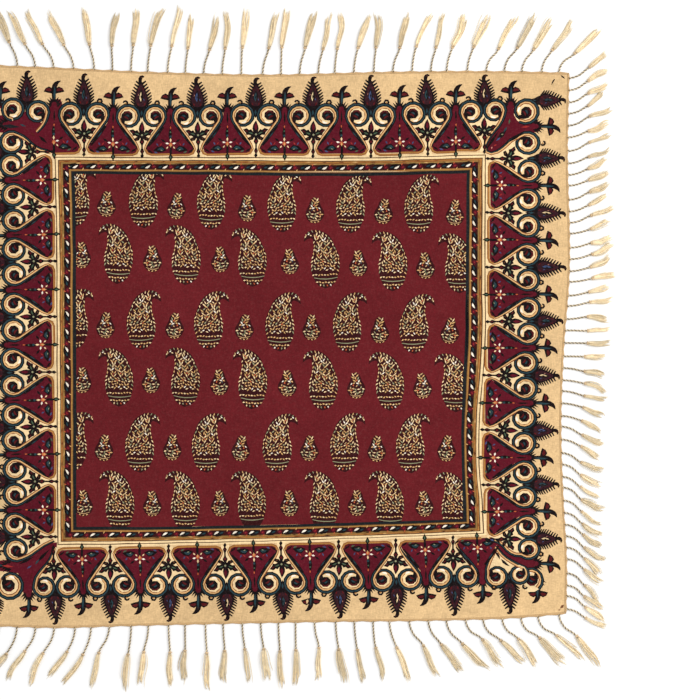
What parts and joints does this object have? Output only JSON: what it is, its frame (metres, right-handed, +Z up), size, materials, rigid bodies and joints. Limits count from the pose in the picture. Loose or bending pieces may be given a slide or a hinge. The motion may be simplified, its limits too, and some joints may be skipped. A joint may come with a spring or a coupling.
{
  "type": "kalamkari tablecloth",
  "caption": "Square printed cotton tablecloth with a red field, a scrolling border and a knotted fringe on all four sides, laid out flat.",
  "frame": {"origin": "on the underside, at the middle of the cloth, where it rests", "axes": "+Z up out of the printed face, +X to the right side of the cloth and +Y to its top side, as seen from above"},
  "size_m": [0.6954, 0.6902, 0.0058],
  "materials": {
    "printed_cotton": "plain-woven cotton, hand block printed",
    "fringe_cotton": "unbleached twisted cotton yarn, ends left loose"
  },
  "bodies": {
    "root": {"cloth": "printed_cotton", "fringe_top": "fringe_cotton", "fringe_bottom": "fringe_cotton", "fringe_left": "fringe_cotton", "fringe_right": "fringe_cotton"}
  },
  "joints": []
}
